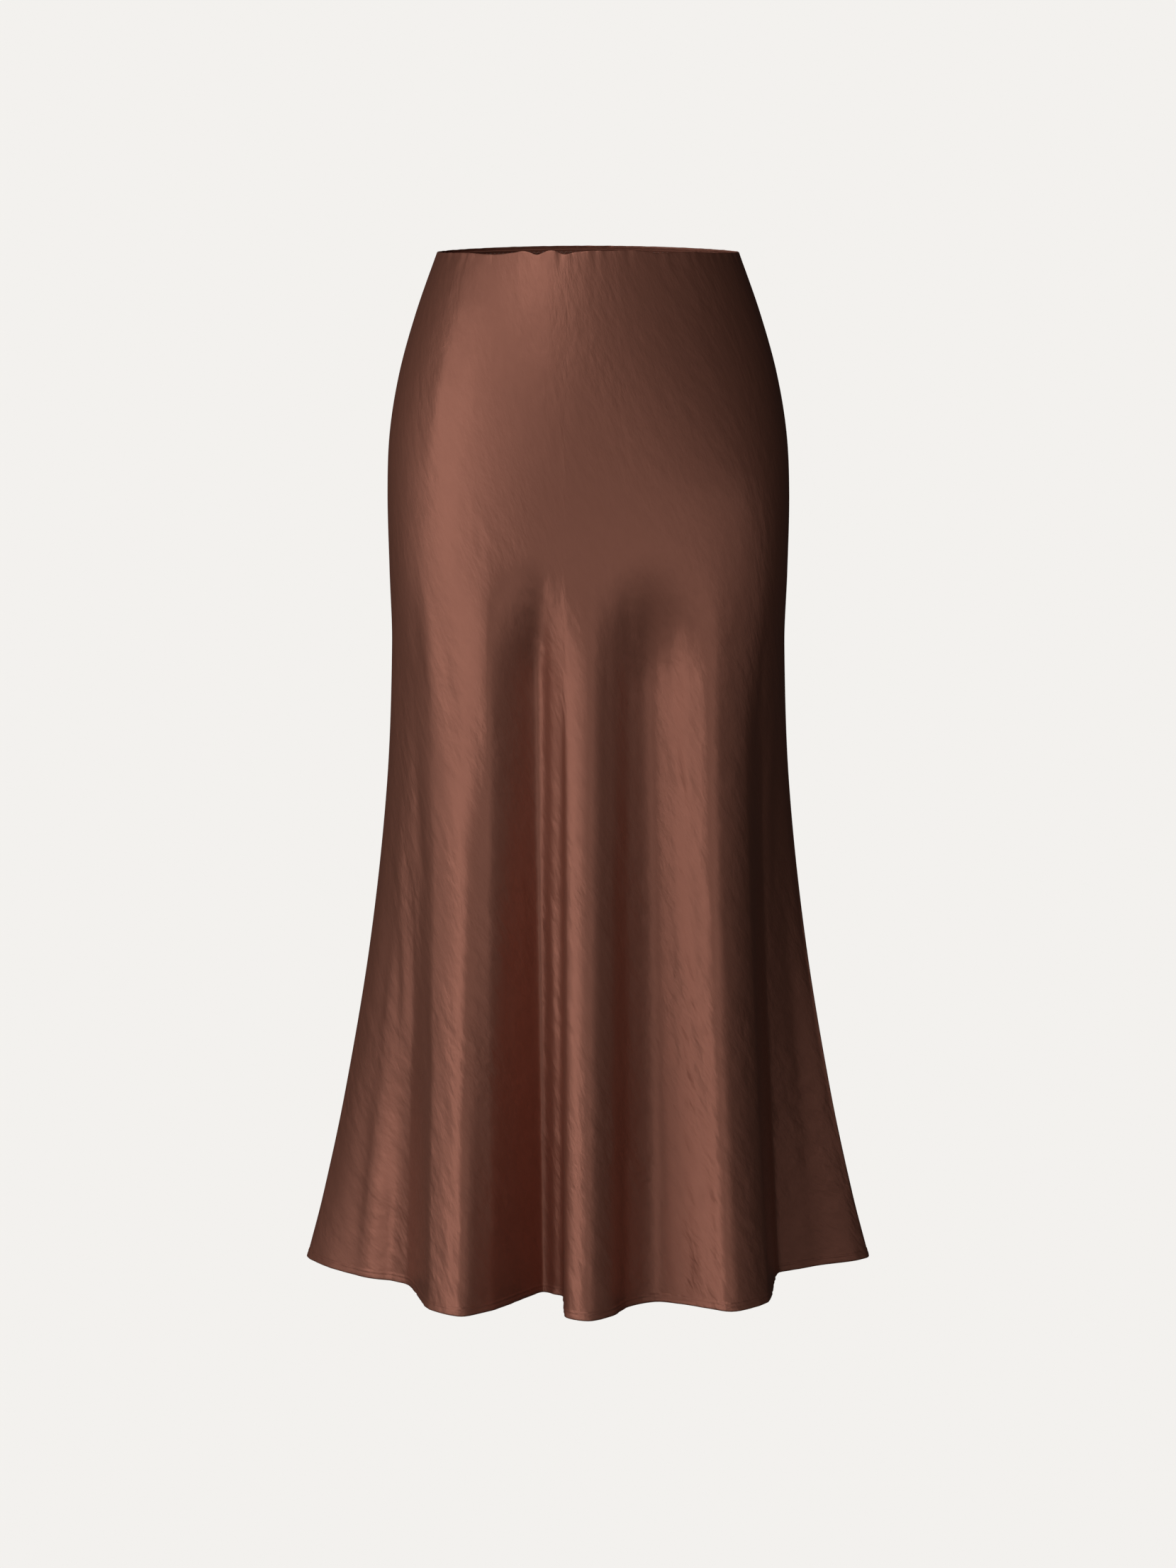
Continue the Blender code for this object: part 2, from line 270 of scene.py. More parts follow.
FRONT_CREASES = (
    # soft drag lines down from the left hip
    Crease((-0.145, 0.20), (-0.118, 0.47), 0.0060, 0.0008),
    Crease((-0.128, 0.24), (-0.098, 0.50), 0.0070, -0.0008),
    Crease((-0.112, 0.04), (-0.136, 0.20), 0.0080, 0.0007),
    Crease((-0.098, 0.03), (-0.120, 0.16), 0.0070, -0.0006),
    # puckers down the left wing
    Crease((-0.150, 0.36), (-0.136, 0.60), 0.0045, -0.0009, 0.002),
    Crease((-0.158, 0.42), (-0.152, 0.68), 0.0045, 0.0010, -0.003),
    Crease((-0.147, 0.48), (-0.144, 0.64), 0.0026, 0.0005, 0.001),
    Crease((-0.156, 0.53), (-0.164, 0.72), 0.0030, -0.0007, -0.001),
    Crease((-0.164, 0.56), (-0.176, 0.70), 0.0028, 0.0006),
    Crease((-0.138, 0.58), (-0.133, 0.74), 0.0028, -0.0005, 0.001),
    # the wing's own soft ridge and trough above the hem
    Crease((-0.166, 0.62), (-0.200, 0.98), 0.0080, 0.0030),
    Crease((-0.152, 0.62), (-0.176, 0.98), 0.0075, -0.0032),
    # crinkles on the left flute, close to the hem
    Crease((-0.118, 0.74), (-0.104, 0.86), 0.0030, -0.0008),
    Crease((-0.112, 0.77), (-0.118, 0.86), 0.0025, 0.0006),
    Crease((-0.124, 0.66), (-0.112, 0.76), 0.0030, -0.0006),
    Crease((-0.117, 0.70), (-0.108, 0.77), 0.0022, 0.0004),
    Crease((-0.108, 0.80), (-0.114, 0.90), 0.0020, -0.0004),
    # a fine pinch beside the centre flute
    Crease((-0.033, 0.50), (-0.027, 0.66), 0.0022, 0.0004),
    Crease((-0.012, 0.66), (-0.007, 0.84), 0.0024, -0.0004, 0.001),
    # drag lines over the right flute
    Crease((0.060, 0.36), (0.096, 0.52), 0.0050, -0.0006),
    Crease((0.082, 0.44), (0.116, 0.60), 0.0050, 0.0006),
    Crease((0.070, 0.54), (0.098, 0.68), 0.0050, -0.0006),
    Crease((0.096, 0.60), (0.124, 0.76), 0.0050, 0.0005),
    Crease((0.084, 0.70), (0.112, 0.84), 0.0045, -0.0006),
    Crease((0.074, 0.40), (0.094, 0.47), 0.0028, 0.0004),
    Crease((0.090, 0.50), (0.108, 0.57), 0.0026, -0.0004),
    Crease((0.078, 0.62), (0.094, 0.70), 0.0028, 0.0004),
    Crease((0.104, 0.66), (0.118, 0.73), 0.0026, -0.0004),
    Crease((0.100, 0.77), (0.116, 0.85), 0.0026, 0.0004),
    # wrinkles on the right hip and thigh
    Crease((0.150, 0.28), (0.140, 0.44), 0.0040, -0.0010),
    Crease((0.157, 0.33), (0.149, 0.52), 0.0040, 0.0009),
    Crease((0.158, 0.44), (0.160, 0.58), 0.0035, -0.0007),
)

# The same kinds of creases on the back.
BACK_CREASES = (
    Crease((0.150, 0.24), (0.124, 0.50), 0.0060, 0.0010),
    Crease((0.132, 0.30), (0.110, 0.56), 0.0060, -0.0009),
    Crease((0.154, 0.44), (0.160, 0.70), 0.0050, -0.0011),
    Crease((0.146, 0.50), (0.148, 0.66), 0.0028, 0.0006, 0.001),
    Crease((0.118, 0.72), (0.108, 0.86), 0.0035, -0.0007),
    Crease((0.110, 0.76), (0.116, 0.86), 0.0025, 0.0005),
    Crease((-0.060, 0.38), (-0.104, 0.58), 0.0055, -0.0007),
    Crease((-0.080, 0.46), (-0.122, 0.70), 0.0055, 0.0006),
    Crease((-0.092, 0.62), (-0.128, 0.84), 0.0055, -0.0006),
    Crease((-0.096, 0.52), (-0.112, 0.60), 0.0026, 0.0004),
    Crease((-0.150, 0.30), (-0.138, 0.48), 0.0045, -0.0009),
    Crease((-0.156, 0.44), (-0.170, 0.72), 0.0050, 0.0010),
)

# Along the front rim, left to right.
RIM_ROLLS = (
    RimRoll(-0.078, 0.0140, -0.0016),
    RimRoll(-0.053, 0.0060, 0.0012),
    RimRoll(-0.042, 0.0050, -0.0022),
    RimRoll(-0.030, 0.0065, 0.0016),
    RimRoll(-0.019, 0.0055, -0.0020),
    RimRoll(0.006, 0.0120, 0.0012),
    RimRoll(0.034, 0.0150, 0.0018),
    RimRoll(0.058, 0.0070, -0.0010),
    RimRoll(0.086, 0.0100, 0.0008),
)


def cubic(value_a: Amount, value_b: Amount, slope_a: Amount, slope_b: Amount,
          share: Amount) -> Any:
    """Cubic between two values with the given slopes.

    Args:
        value_a: Value at the start.
        value_b: Value at the end.
        slope_a: Slope at the start, per whole share.
        slope_b: Slope at the end, per whole share.
        share: Place between the two, from 0 to 1.

    Returns:
        The value at that place.
    """
    square = share * share
    cube = square * share
    return (
        value_a * (2 * cube - 3 * square + 1)
        + slope_a * (cube - 2 * square + share)
        + value_b * (3 * square - 2 * cube)
        + slope_b * (cube - square)
    )


def eased_slope(step_in: Array, step_out: Array) -> Array:
    """Slopes where steps meet, which never let the curve run past a line.

    Args:
        step_in: The step that leads to each line.
        step_out: The step that leads on from it.

    Returns:
        The slope at each line.
    """
    together = step_in * step_out
    total = np.where(together > 0.0, step_in + step_out, 1.0)
    return np.where(together > 0.0, 2.0 * together / total, 0.0)


def fade(value: Array, reach: float) -> Array:
    """One at zero, falling softly to nothing at the reach."""
    return np.clip(1.0 - value / reach, 0.0, 1.0) ** 2


def running_length(points: Array) -> Array:
    """Distances along rows of points.

    Args:
        points: One row of points, or a net of them.

    Returns:
        The distance of each point from the first of its row.
    """
    steps = np.linalg.norm(np.diff(points, axis=-2), axis=-1)
    start = np.zeros((*steps.shape[:-1], 1))
    return np.concatenate([start, np.cumsum(steps, axis=-1)], axis=-1)


def normals_of(points: Array) -> Array:
    """Unit normals out of a net of points, from its own differences.

    Args:
        points: The net, with a row for each height.

    Returns:
        The normal at each point.
    """
    outward = np.cross(np.gradient(points, axis=0), np.gradient(points, axis=1))
    return outward / (np.linalg.norm(outward, axis=2, keepdims=True) + TINY)


def close_drops(middle: float) -> Array:
    """Three heights close together, for a normal at the middle one."""
    return np.array([middle - NEAR_STEP, middle, middle + NEAR_STEP])


def section_at(drop: float) -> Numbers:
    """The oval at a height.

    Args:
        drop: Height below the waist.

    Returns:
        The sizes in the order of SIZES.
    """
    last = len(SECTIONS) - 2
    index = 0
    while index < last and SECTIONS[index + 1].drop < drop:
        index += 1
    upper, lower = SECTIONS[index], SECTIONS[index + 1]
    above, below = SECTIONS[max(index - 1, 0)], SECTIONS[min(index + 2, last + 1)]
    height = lower.drop - upper.drop
    share = (drop - upper.drop) / height
    sizes = []
    for size in SIZES:
        slope_up = (getattr(lower, size) - getattr(above, size)) / (lower.drop - above.drop)
        slope_down = (getattr(below, size) - getattr(upper, size)) / (below.drop - upper.drop)
        sizes.append(cubic(getattr(upper, size), getattr(lower, size),
                           slope_up * height, slope_down * height, share))
    return tuple(sizes)


@dataclass
class Drape:
    """The whole surface of the cloth, by column and drop.

    A column counts the fold lines from the left seam, over the front to the right seam
    and over the back, with a fraction between two lines.
    """

    seam_dip: float = 0.0009        # how deep the cloth dips into a side seam
    seam_reach: float = 0.0030      # how far beside the seam it dips
    hem_band: float = 0.0065        # height of the turned hem
    hem_edge: float = 0.0012        # height over which its upper edge rises
    hem_bulge: float = 0.0005       # how far the turned hem stands proud
    hem_stitch: float = 0.0040      # height of the stitches above the edge
    stitch_dent: float = 0.0004     # how deep the stitches pull the cloth in
    stitch_spread: float = 0.0007   # how far above and below the stitches it is pulled in
    hem_pucker: float = 0.0005      # wander of the cloth just above the stitches
    pucker_reach: float = 0.016
    pucker_waves: Numbers = (0.0118, 0.0171, 0.0264)
    rim_gather: float = 0.0004      # small gathers by which the elastic takes up the rim
    gather_reach: float = 0.022
    gather_waves: Numbers = (0.0093, 0.0139, 0.0222)
    lines: list[Line] = field(default_factory=list)

    def __post_init__(self) -> None:
        """Lists the lines round the skirt: left seam, front, right seam and back."""
        hem_half = SECTIONS[-1].half_width
        halves = ((Side.FRONT, -hem_half, FRONT_FOLDS), (Side.BACK, hem_half, BACK_FOLDS))
        for side, seam_x, folds in halves:
            self.lines.append(Line(Side.SEAM, 0.0, 1.0, seam_x, 0.0, seam_x, 0.0))
            for fold in folds:
                for place in zip(fold.upper_x, fold.upper_setback, fold.hem_x, fold.hem_setback):
                    self.lines.append(Line(side, fold.start_drop, fold.growth, *place))

    @property
    def right_seam(self) -> int:
        """The column of the right side seam."""
        return 1 + LINES_PER_FOLD * len(FRONT_FOLDS)

    @property
    def around(self) -> int:
        """The number of lines all round."""
        return len(self.lines)

    def line_angle(self, line: Line, drop: float) -> float:
        """Where a line lies on the oval; above the upper drop it keeps its x.

        Args:
            line: The line.
            drop: Height below the waist.

        Returns:
            The angle round the oval, from the right.
        """
        half_width = section_at(max(drop, line.start_drop))[0]
        travel = max(0.0, drop - UPPER_DROP) / (SKIRT_LENGTH - UPPER_DROP)
        x = line.upper_x + (line.hem_x - line.upper_x) * travel
        if travel > 0.0:
            upper_width = section_at(UPPER_DROP)[0]
            straight = upper_width + (SECTIONS[-1].half_width - upper_width) * travel
            x *= 1.0 - (1.0 - half_width / straight) * (x / straight) ** SIDE_FOLLOW
        return math.acos(max(-1.0, min(1.0, x / half_width)))

    def line_setback(self, line: Line, drop: float) -> float:
        """How far a line is pulled in: a soft onset, then steadily down to the hem.

        Args:
            line: The line.
            drop: Height below the waist.

        Returns:
            The setback, in metres.
        """
        deepening = line.hem_setback - line.upper_setback
        travel = (drop - UPPER_DROP) / (SKIRT_LENGTH - UPPER_DROP)
        if travel >= 0.0:
            return line.upper_setback + deepening * travel**line.growth
        if drop <= line.start_drop:
            return 0.0
        onset = UPPER_DROP - line.start_drop
        slope = deepening / (SKIRT_LENGTH - UPPER_DROP) if line.growth == 1.0 else 0.0
        return cubic(0.0, line.upper_setback, 0.0, slope * onset, (drop - line.start_drop) / onset)

    def states(self, drop: float) -> tuple[Array, Array]:
        """The fold lines at one height, with one more before and two after the round.

        Args:
            drop: Height below the waist.

        Returns:
            Falling angles and signed setbacks.
        """
        angles, setbacks = [], []
        for line in self.lines:
            sign = line.side.value
            if line.side is Side.SEAM:
                angles.append(math.pi if line.hem_x < 0 else 0.0)
                setbacks.append(0.0)
            else:
                angles.append(sign * self.line_angle(line, drop))
                setbacks.append(sign * self.line_setback(line, drop))
        turn = math.tau
        ring = [angles[-1] + turn, *angles, angles[0] - turn, angles[1] - turn]
        depths = [setbacks[-1], *setbacks, setbacks[0], setbacks[1]]
        return np.array(ring), np.array(depths)

    def base(self, columns: Array, drops: Array) -> Array:
        """Points of the plain folded surface.

        Args:
            columns: Columns, from 0 to the number of lines.
            drops: Heights below the waist.

        Returns:
            An array of points, one row for each drop and one place for each column.
        """
        index = np.minimum(np.floor(columns).astype(int), self.around - 1)
        share = columns - index
        points = np.empty((len(drops), len(columns), 3))
        for row, drop in enumerate(drops):
            half_width, front, back, left_power, right_power, turn = section_at(float(drop))
            values = []
            for ring in self.states(float(drop)):
                before, here = ring[index], ring[index + 1]
                there, after = ring[index + 2], ring[index + 3]
                slope_here = eased_slope(here - before, there - here)
                slope_there = eased_slope(there - here, after - there)
                values.append(cubic(here, there, slope_here, slope_there, share))
            sine, cosine = np.sin(values[0]), np.cos(values[0])
            power = np.where(cosine > 0, right_power, left_power)
            round_off = np.clip(1.0 - np.abs(cosine) ** power, 0.0, 1.0) ** (1.0 / power)
            front_reach = front * round_off * (1.0 + turn * cosine)
            reach = np.where(sine > 0, front_reach, back * sine)
            lift = RIM_LIFT * max(0.0, 1.0 - drop / RIM_LIFT_REACH) ** 2
            points[row, :, 0] = half_width * cosine
            points[row, :, 1] = values[1] - reach
            points[row, :, 2] = lift * sine**2 - drop
        return points

    def relief(self, points: Array, drops: Array, side: Side) -> Array:
        """What the creases, the gathers and the hem add to a panel along its normals.

        Args:
            points: The panel's net of points, from seam to seam.
            drops: The drop of each of its rows.
            side: Which panel it is.

        Returns:
            The lift of each point.
        """
        drop = np.broadcast_to(drops[:, None], points.shape[:2])
        creases = FRONT_CREASES if side is Side.FRONT else BACK_CREASES
        lift = sum(crease.relief(points[:, :, 0], drop) for crease in creases)
        arc = running_length(points)
        seam = np.minimum(arc, arc[:, -1:] - arc)
        lift -= self.seam_dip * fade(seam, self.seam_reach)
        height = SKIRT_LENGTH - drop
        turned = np.clip((self.hem_band - height) / self.hem_edge, 0.0, 1.0)
        lift += self.hem_bulge * turned * turned * (3 - 2 * turned)
        lift -= self.stitch_dent * np.exp(-(((height - self.hem_stitch) / self.stitch_spread) ** 2))
        puckers = self.hem_pucker * ripple(arc[-1:], self.pucker_waves)
        gathers = self.rim_gather * ripple(arc[:1], self.gather_waves)
        lift += puckers * fade(height, self.pucker_reach)
        lift += gathers * fade(drop, self.gather_reach)
        return lift


def ripple(arc: Array, waves: Numbers) -> Array:
    """An uneven wave along an edge.

    Args:
        arc: Distances along the edge.
        waves: The wavelengths that are laid over each other.

    Returns:
        Values of about -1 to 1.
    """
    total = np.zeros_like(arc)
    for order, wave in enumerate(waves):
        drift = RIPPLE_DRIFT * np.sin(arc * RIPPLE_DRIFT_RATE + order)
        total += np.sin(math.tau * arc / wave + RIPPLE_SHIFT * order + drift)
    return total / len(waves)


# --- Finishes ---


class Value:
    """A socket that numbers and other sockets can be added to or multiplied with."""

    def __init__(self, graph: "Graph", socket: NodeSocket) -> None:
        """Keeps the socket and the graph that new nodes go to."""
        self.graph = graph
        self.socket = socket

    def __add__(self, other: Any) -> "Value":
        """Sum of two values."""
        return self.graph.calc("ADD", self, other)

    def __sub__(self, other: Any) -> "Value":
        """Difference of two values."""
        return self.graph.calc("SUBTRACT", self, other)

    def __rsub__(self, other: Any) -> "Value":
        """Difference with a number on the left."""
        return self.graph.calc("SUBTRACT", other, self)

    def __mul__(self, other: Any) -> "Value":
        """Product of two values."""
        return self.graph.calc("MULTIPLY", self, other)

    __radd__ = __add__
    __rmul__ = __mul__


@dataclass(frozen=True)
class Grain:
    """A cloudy pattern: its clouds to a metre, its finer layers and how strong those are."""

    scale: float
    detail: float
    roughness: float = 0.5


@dataclass
class Graph:
    """A node tree, with one method for every node and short ones for the common kinds."""

    tree: NodeTree

    def node(self, kind: str, settings: dict[str, Any], values: dict[Any, Any],
             out: Any = 0) -> Value:
        """Adds one node.

        Args:
            kind: The node's type.
            settings: Its own settings, which are set first.
            values: A number, a vector or a Value for each named or numbered input.
            out: The output that is handed back.

        Returns:
            That output, wrapped.
        """
        made = self.tree.nodes.new(kind)
        for name, setting in settings.items():
            setattr(made, name, setting)
        for name, value in values.items():
            if isinstance(value, Value):
                self.feed(value, made.inputs[name])
            else:
                made.inputs[name].default_value = value
        return Value(self, made.outputs[out])

    def feed(self, value: Value, socket: NodeSocket) -> None:
        """Links a value to a socket."""
        self.tree.links.new(value.socket, socket)

    def calc(self, operation: str, first: Any, second: Any) -> Value:
        """Works one number out of two."""
        return self.node("ShaderNodeMath", {"operation": operation}, {0: first, 1: second})

    def noise(self, grain: Grain, place: Value, dimensions: str = "2D") -> Value:
        """Values from 0 to 1 of a pattern, 2D on a map or 3D through the piece."""
        looks = {"Scale": grain.scale, "Detail": grain.detail, "Roughness": grain.roughness}
        return self.node("ShaderNodeTexNoise", {"noise_dimensions": dimensions},
                         {"Vector": place, **looks})

    def mix(self, factor: Value, first: Colour, second: Colour) -> Value:
        """A colour between two, the second one where the factor is 1."""
        return self.node("ShaderNodeMix", {"data_type": "RGBA"},
                         {0: factor, 6: (*first, 1.0), 7: (*second, 1.0)}, 2)

    def bump(self, relief: Value, strength: float) -> Value:
        """The normal of a surface with a relief in metres."""
        return self.node("ShaderNodeBump", {},
                         {"Strength": strength, "Distance": 1.0, "Height": relief})


def blank_material(name: str) -> tuple[Material, Graph, Node]:
    """A new material with its graph and its Principled shader.

    Args:
        name: The material's name.

    Returns:
        The material, its graph and the shader.
    """
    made = bpy.data.materials.new(name)
    made.use_nodes = True
    return made, Graph(made.node_tree), made.node_tree.nodes["Principled BSDF"]


@dataclass(frozen=True)
class SatinFinish:
    """Brown satin: a long soft sheen over a fine woven surface."""

    name: str = "brown_satin"
    colour: Colour = (0.450, 0.178, 0.120)
    shade: Colour = (0.390, 0.152, 0.101)
    metallic: float = 0.60
    roughness: float = 0.46
    roughness_swing: float = 0.06
    bias_degrees: float = 26.0
    stretch: float = 2.2                # how long the grain's marks are for their width
    weave: Grain = Grain(420.0, 2.0, 0.6)
    slub: Grain = Grain(150.0, 3.0, 0.55)
    crinkle: Grain = Grain(80.0, 3.0)
    patches: Grain = Grain(16.0, 1.0)   # where the cloth is more or less crinkled
    clouds: Grain = Grain(14.0, 2.0)    # broad changes of the colour
    slub_tint: float = 0.5
    cloud_tint: float = 0.4
    weave_height: float = 0.00010
    slub_height: float = 0.00060
    crinkle_height: float = 0.00160
    crinkle_growth: float = 0.00620     # what each metre below the start adds to it
    crinkle_start: float = 0.20
    patch_contrast: float = 1.6
    patch_floor: float = 0.1
    bump_strength: float = 0.35

    def material(self) -> Material:
        """Builds the material, with its grain laid along the bias of the cloth.

        Returns:
            The material.
        """
        made, graph, shader = blank_material(self.name)
        cloth = graph.node("ShaderNodeUVMap", {"uv_map": "cloth"}, {})
        turn = (0.0, 0.0, math.radians(self.bias_degrees))
        bias = graph.node("ShaderNodeMapping", {"vector_type": "TEXTURE"},
                          {"Vector": cloth, "Rotation": turn, "Scale": (1.0, self.stretch, 1.0)})
        slub = graph.noise(self.slub, bias)
        weave = graph.noise(self.weave, bias)
        crinkle = graph.noise(self.crinkle, bias)
        patches = graph.noise(self.patches, bias)
        clouds = graph.noise(self.clouds, cloth)
        tint = graph.mix(slub * self.slub_tint + clouds * self.cloud_tint, self.shade, self.colour)
        dullness = weave * self.roughness_swing + (self.roughness - self.roughness_swing / 2)
        drop = graph.node("ShaderNodeSeparateXYZ", {}, {"Vector": cloth}, "Y") * -1.0
        below = graph.calc("MAXIMUM", drop - self.crinkle_start, 0.0)
        depth = below * self.crinkle_growth + self.crinkle_height
        rough = crinkle * depth * (patches * self.patch_contrast - self.patch_floor)
        relief = slub * self.slub_height + weave * self.weave_height + rough
        graph.feed(tint, shader.inputs["Base Color"])
        graph.feed(dullness, shader.inputs["Roughness"])
        graph.feed(graph.bump(relief, self.bump_strength), shader.inputs["Normal"])
        shader.inputs["Metallic"].default_value = self.metallic
        return made


@dataclass(frozen=True)
class ElasticFinish:
    """Matt brown woven elastic."""

    name: str = "brown_elastic"
    colour: Colour = (0.320, 0.118, 0.078)
    worn: Colour = (0.420, 0.158, 0.106)
    roughness: float = 0.80
    specular: float = 0.2
    threads: Grain = Grain(700.0, 2.0)
    thread_height: float = 0.0002
    bump_strength: float = 0.5

    def material(self) -> Material:
        """Builds the material, with a fine thread pattern.

        Returns:
            The material.
        """
        made, graph, shader = blank_material(self.name)
        place = graph.node("ShaderNodeTexCoord", {}, {}, "Object")
        thread = graph.noise(self.threads, place, "3D")
        bump = graph.bump(thread * self.thread_height, self.bump_strength)
        graph.feed(graph.mix(thread, self.colour, self.worn), shader.inputs["Base Color"])
        graph.feed(bump, shader.inputs["Normal"])
        shader.inputs["Roughness"].default_value = self.roughness
        shader.inputs["Specular IOR Level"].default_value = self.specular
        return made


@dataclass(frozen=True)
class ThreadFinish:
    """Sewing thread, a little lighter than the cloth."""

    name: str
    colour: Colour
    roughness: float = 0.45
    metallic: float = 0.3
    twists: Grain = Grain(1500.0, 1.0)
    twist_shade: float = 0.75       # how dark the thread is between its twists

    def material(self) -> Material:
        """Builds the material, with a faint twist in its colour.

        Returns:
            The material.
        """
        made, graph, shader = blank_material(self.name)
        place = graph.node("ShaderNodeTexCoord", {}, {}, "Object")
        twist = graph.noise(self.twists, place, "3D")
        darker = tuple(self.twist_shade * part for part in self.colour)
        graph.feed(graph.mix(twist, darker, self.colour), shader.inputs["Base Color"])
        shader.inputs["Roughness"].default_value = self.roughness
        shader.inputs["Metallic"].default_value = self.metallic
        return made


@dataclass(frozen=True)
class PaperFinish:
    """The even pale tone of the floor and the backdrop."""

    name: str = "pale_paper"
    colour: Colour = (0.896, 0.879, 0.855)

    def material(self) -> Material:
        """Builds a flat glowing material.

        Returns:
            The material.
        """
        made = bpy.data.materials.new(self.name)
        made.use_nodes = True
        made.node_tree.nodes.clear()
        graph = Graph(made.node_tree)
        glow = graph.node("ShaderNodeEmission", {}, {"Color": (*self.colour, 1.0), "Strength": 1.0})
        graph.feed(glow, graph.tree.nodes.new("ShaderNodeOutputMaterial").inputs["Surface"])
        return made


# --- Pieces ---


def placed(name: str, data: ID) -> Object:
    """Puts an object into the scene, at the origin.

    Args:
        name: The object's name.
        data: Its mesh, light or camera.

    Returns:
        The object.
    """
    thing = bpy.data.objects.new(name, data)
    bpy.context.scene.collection.objects.link(thing)
    return thing


def mesh_object(name: str, points: Array, faces: Faces, finish: Material) -> Object:
    """A smooth object from points and faces, with its normals made to point out.

    Args:
        name: The object's name.
        points: The vertices.
        faces: The faces, as vertex numbers.
        finish: The material.

    Returns:
        The object.
    """
    data = bpy.data.meshes.new(name)
    data.from_pydata(points.tolist(), [], faces)
    data.validate()
    data.materials.append(finish)
    made = bmesh.new()
    made.from_mesh(data)
    bmesh.ops.recalc_face_normals(made, faces=made.faces)
    made.to_mesh(data)
    made.free()
    data.shade_smooth()
    return placed(name, data)


def loop_faces(count: int, width: int, closed: bool) -> Faces:
    """The faces of a net whose last row joins its first.

    Args:
        count: The number of rows.
        width: The number of points in a row.
        closed: Whether the last point of a row joins the row's first, too.

    Returns:
        The faces, as vertex numbers.
    """
    faces: Faces = []
    for row in range(count):
        here, below = row * width, (row + 1) % count * width
        for place in range(width if closed else width - 1):
            beside = (place + 1) % width
            faces.append((here + place, below + place, below + beside, here + beside))
    return faces


